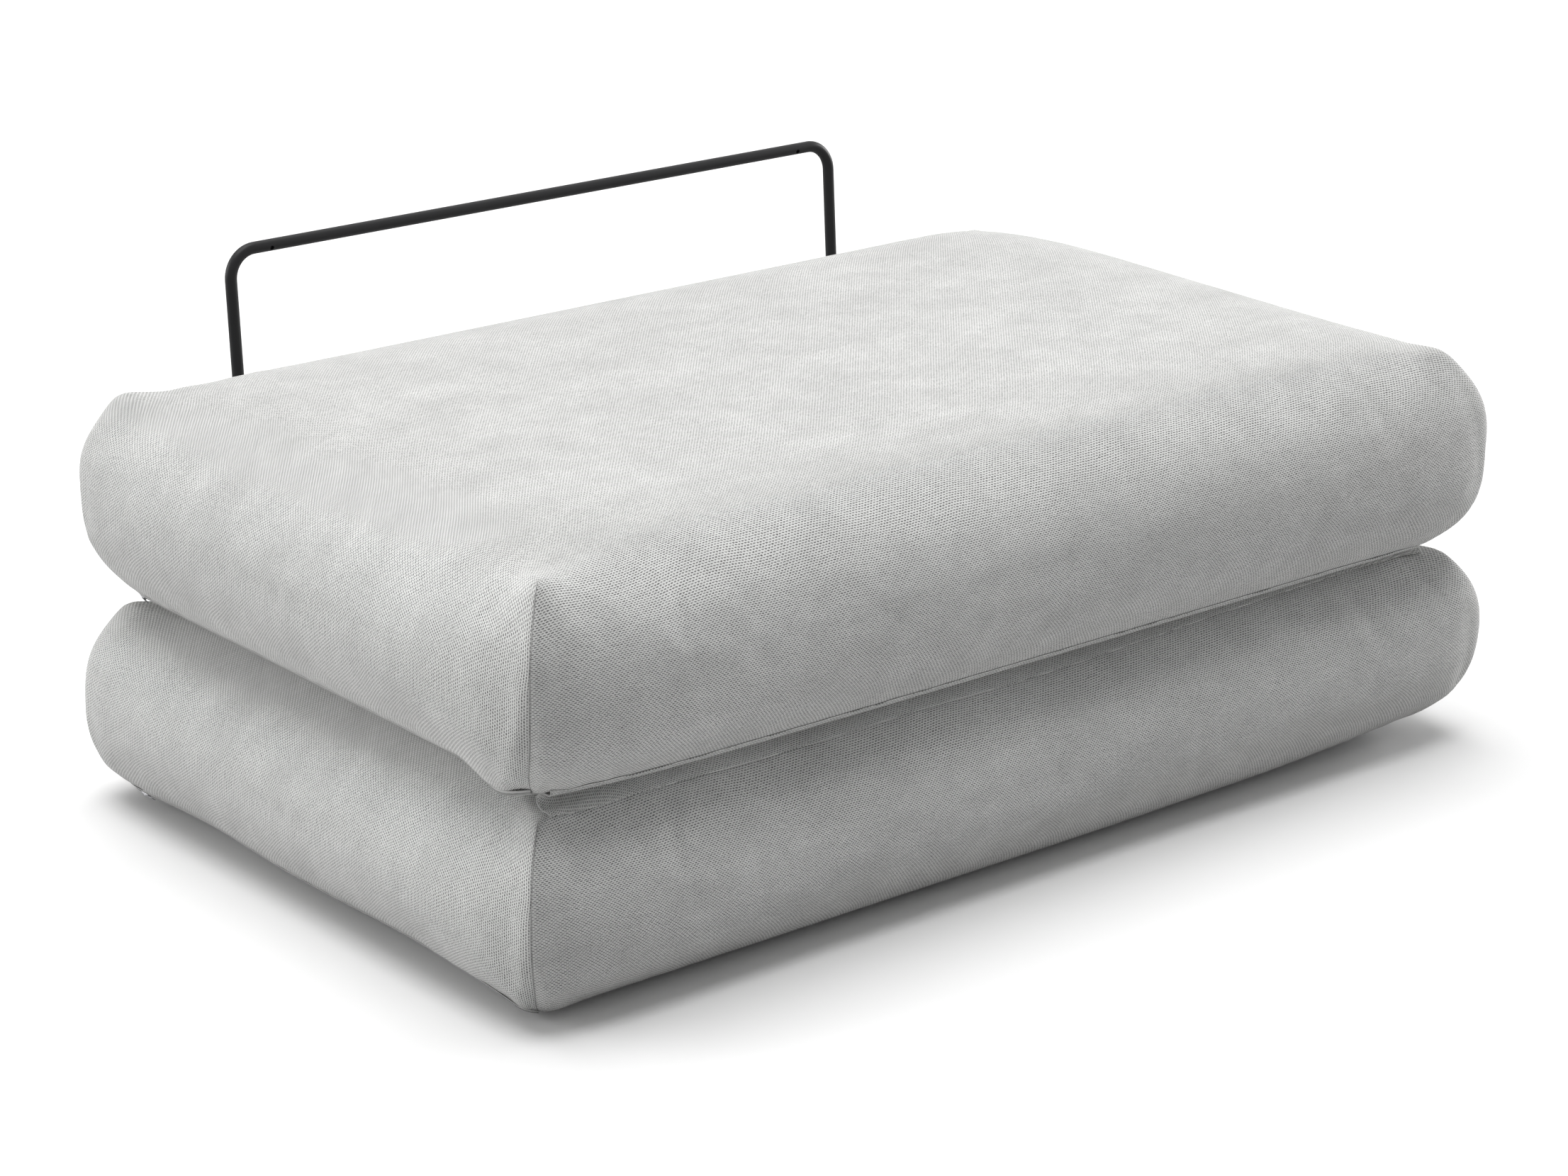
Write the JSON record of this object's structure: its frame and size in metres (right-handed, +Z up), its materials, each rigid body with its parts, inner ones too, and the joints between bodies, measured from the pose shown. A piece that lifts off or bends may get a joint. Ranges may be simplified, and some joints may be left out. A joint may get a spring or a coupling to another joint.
{
  "type": "sofa bed",
  "caption": "Sofa bed of two thick foam mattresses stacked in knitted covers, joined by a fabric hinge so that the upper one opens out in front, with a round-tube back hoop on floor runners.",
  "frame": {"origin": "middle of the bottom of the whole, on the floor", "axes": "+X along the long side, from the zip end to the other end; -Y the front, where the fabric hinge is; +Z up"},
  "size_m": [1.6222, 1.06, 0.673],
  "materials": {
    "cover_cloth": "matt, coarse knitted cloth",
    "base_cloth": "matt woven base cloth",
    "wadding": "loose fibre",
    "foam": "open-cell foam",
    "zip_nylon": "satin",
    "zip_metal": "satin",
    "black_steel": "satin black powder coat",
    "zinc_steel": "bright zinc",
    "black_rubber": "matt"
  },
  "bodies": {
    "base": {"back_hoop": "black_steel", "left_runner": "black_steel", "left_hoop_screw": "zinc_steel", "left_grip_pad": "black_rubber", "left_bar_cap": "black_rubber", "left_front_glide": "black_rubber", "left_middle_glide": "black_rubber", "left_rear_glide": "black_rubber", "right_runner": "black_steel", "right_hoop_screw": "zinc_steel", "right_grip_pad": "black_rubber", "right_bar_cap": "black_rubber", "right_front_glide": "black_rubber", "right_middle_glide": "black_rubber", "right_rear_glide": "black_rubber", "lower_cover": "cover_cloth", "lower_base_panel": "base_cloth", "lower_wadding": "wadding", "lower_foam_core": "foam", "lower_zip": "zip_nylon", "hinge_flap": "cover_cloth"},
    "upper_mattress": {"upper_cover": "cover_cloth", "upper_base_panel": "base_cloth", "upper_wadding": "wadding", "upper_foam_core": "foam", "upper_zip": "zip_nylon"},
    "lower_slider": {"lower_zip_slider": "zip_metal"},
    "upper_slider": {"upper_zip_slider": "zip_metal"}
  },
  "joints": [
    {"name": "unfold", "type": "hinge", "parent": "base", "child": "upper_mattress", "pos_m": [0, -0.53412, 0.2845], "axis": [1, 0, 0], "range_deg": [0, 180], "deforming": ["hinge_flap"]},
    {"name": "lower_zip_run", "type": "slide", "parent": "base", "child": "lower_slider", "axis": [0, -1, 0], "range_m": [0, 0.76]},
    {"name": "upper_zip_run", "type": "slide", "parent": "upper_mattress", "child": "upper_slider", "axis": [0, -1, 0], "range_m": [0, 0.76]}
  ]
}
